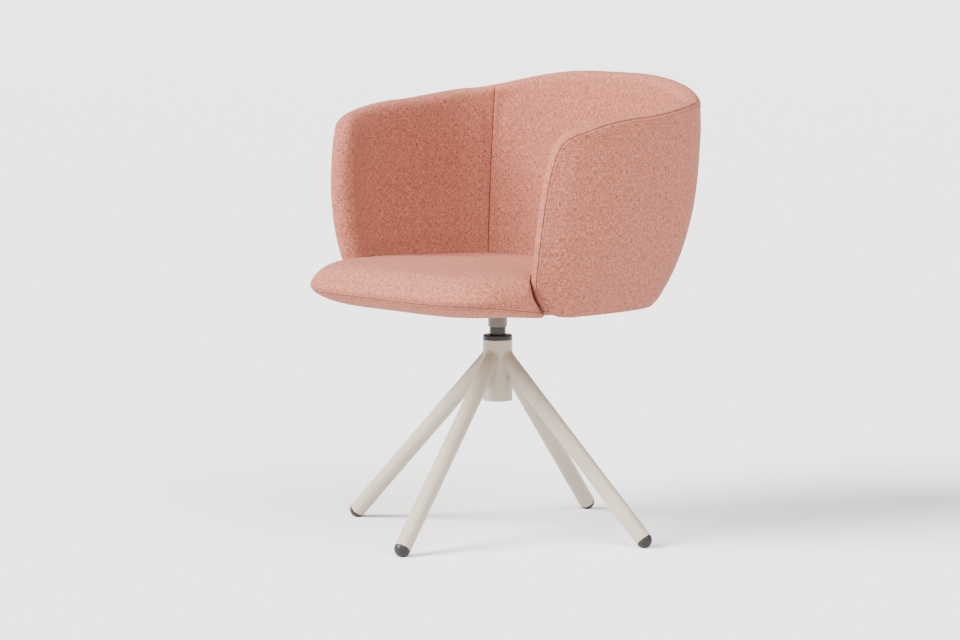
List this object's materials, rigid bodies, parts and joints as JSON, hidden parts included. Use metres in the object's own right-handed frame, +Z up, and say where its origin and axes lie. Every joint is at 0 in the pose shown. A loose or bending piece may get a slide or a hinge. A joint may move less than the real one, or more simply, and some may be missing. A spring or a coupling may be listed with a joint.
{
  "type": "swivel chair",
  "caption": "Upholstered tub armchair with a wrap-round back and a thick rounded seat that swivels on a splayed-leg metal base.",
  "frame": {"origin": "on the floor, on the swivel axis; within 5 mm of the bounding box's bottom centre", "axes": "+Z up, -Y the way the sitter faces, +X to the sitter's left"},
  "size_m": [0.6116, 0.6017, 0.7764],
  "materials": {
    "cloth": "woven melange",
    "powder_coat": "fine satin powder coat",
    "black_plastic": "moulded",
    "polished_steel": "ground and polished",
    "plain_steel": "zinc plated",
    "plywood": "raw plywood",
    "shell_core": "raw moulding"
  },
  "bodies": {
    "base": {"hub_tube": "powder_coat", "leg_left": "powder_coat", "leg_rear": "powder_coat", "leg_right": "powder_coat", "leg_front": "powder_coat", "glide_left": "black_plastic", "glide_rear": "black_plastic", "glide_right": "black_plastic", "glide_front": "black_plastic", "bearing_plate": "plain_steel", "upper_bush": "black_plastic", "lower_bush": "black_plastic", "lower_race": "plain_steel"},
    "ball_cage": {"ball_cage": "black_plastic", "bearing_balls": "plain_steel"},
    "seat": {"upper_race": "plain_steel", "swivel_spindle": "polished_steel", "thrust_washer": "plain_steel", "retaining_clip": "plain_steel", "stem_socket": "powder_coat", "mounting_plate": "powder_coat", "plate_screws": "plain_steel", "tee_nuts": "plain_steel", "seat_board": "plywood", "seat_cushion": "cloth", "under_pad": "cloth", "shell_frame": "shell_core", "bracket_left": "plain_steel", "bracket_right": "plain_steel", "bracket_rear_left": "plain_steel", "bracket_rear_right": "plain_steel", "bracket_screws": "plain_steel", "outer_cover": "cloth", "back_pad": "cloth", "arm_pad_left": "cloth", "arm_pad_right": "cloth"}
  },
  "joints": [
    {"name": "seat_swivel", "type": "hinge", "parent": "base", "child": "seat", "pos_m": [0, 0, 0.265], "axis": [0, 0, 1], "continuous": true},
    {"name": "cage_spin", "type": "hinge", "parent": "base", "child": "ball_cage", "pos_m": [0, 0, 0.2605], "axis": [0, 0, 1], "continuous": true}
  ],
  "couplings": [
    {"joint": "cage_spin", "follows": "seat_swivel", "ratio": 0.5}
  ]
}
